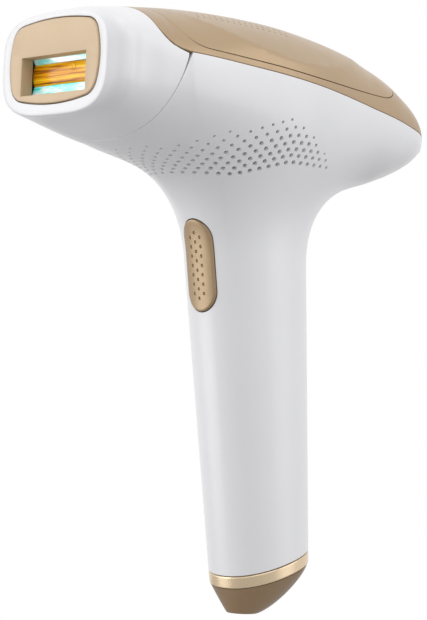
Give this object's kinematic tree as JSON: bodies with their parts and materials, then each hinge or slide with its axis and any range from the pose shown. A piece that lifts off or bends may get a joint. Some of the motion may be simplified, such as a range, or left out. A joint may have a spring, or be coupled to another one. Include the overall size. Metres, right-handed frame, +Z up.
{
  "type": "IPL hair remover",
  "caption": "Pistol-shaped light hair remover with a pull-off lamp cartridge, vented belly, gold top cover and a flash button on the front of the handle.",
  "frame": {"origin": "under the middle of the overall width and length, level with the flat base of the handle's bottom cap", "axes": "+Z up along the handle from its base, -Y the way the light leaves the treatment window, +X to the right for someone looking along +Y"},
  "size_m": [0.0658, 0.1624, 0.1978],
  "materials": {
    "white_shell": "satin gloss moulded plastic",
    "gold_cover": "champagne gold satin coating",
    "gold_plate": "light champagne satin",
    "gold_band": "bright champagne metallic",
    "gold_cap": "darker bronze gold coating",
    "amber_glass": "polished amber filter glass",
    "mirror_metal": "polished reflector",
    "clear_quartz": "clear quartz tube",
    "tungsten": "dull metal",
    "black_plastic": "matt black",
    "grey_plastic": "matt grey",
    "board_green": "solder mask",
    "brass_pin": "polished",
    "spring_steel": "bright steel",
    "seal_rubber": "matt rubber",
    "can_blue": "sleeved aluminium can"
  },
  "bodies": {
    "handle_and_head": {"bottom_cap": "gold_cap", "button_board": "board_green", "button_seal": "seal_rubber", "button_switch": "black_plastic", "capacitor": "can_blue", "chassis": "grey_plastic", "chassis_screw_1": "spring_steel", "chassis_screw_2": "spring_steel", "chassis_screw_3": "spring_steel", "chassis_screw_4": "spring_steel", "dc_jack": "black_plastic", "dc_pin": "brass_pin", "fan_frame": "black_plastic", "handle_band": "gold_band", "lamp_socket": "black_plastic", "light_board": "board_green", "main_board": "board_green", "main_housing": "white_shell", "power_board": "board_green", "top_cover": "gold_cover", "top_panel": "gold_cover", "trigger_transformer": "black_plastic"},
    "cartridge": {"cartridge_shell": "white_shell", "filter_glass": "amber_glass", "lamp_reflector": "mirror_metal", "xenon_lamp": "clear_quartz", "lamp_electrode_left": "tungsten", "lamp_electrode_right": "tungsten", "cartridge_chassis": "grey_plastic", "contact_pin_left": "brass_pin", "contact_pin_right": "brass_pin", "plate_spring_left": "spring_steel", "plate_spring_right": "spring_steel"},
    "contact_plate_body": {"contact_plate": "gold_plate"},
    "flash_button_body": {"flash_button": "gold_cover"},
    "fan_rotor_body": {"fan_rotor": "black_plastic"}
  },
  "joints": [
    {"name": "cartridge_slide", "type": "slide", "parent": "handle_and_head", "child": "cartridge", "axis": [0, -1, 0], "range_m": [0, 0.06]},
    {"name": "contact_plate_press", "type": "slide", "parent": "cartridge", "child": "contact_plate_body", "axis": [0, 1, 0], "range_m": [0, 0.0008], "stiffness_N_per_m": 300, "springref_m": -0.001},
    {"name": "flash_button_press", "type": "slide", "parent": "handle_and_head", "child": "flash_button_body", "axis": [0, 0.9803, 0.1977], "range_m": [0, 0.001], "stiffness_N_per_m": 800, "springref_m": -0.0005},
    {"name": "fan_spin", "type": "hinge", "parent": "handle_and_head", "child": "fan_rotor_body", "pos_m": [0, -0.02035, 0.1595], "axis": [0, 0, 1], "continuous": true}
  ]
}
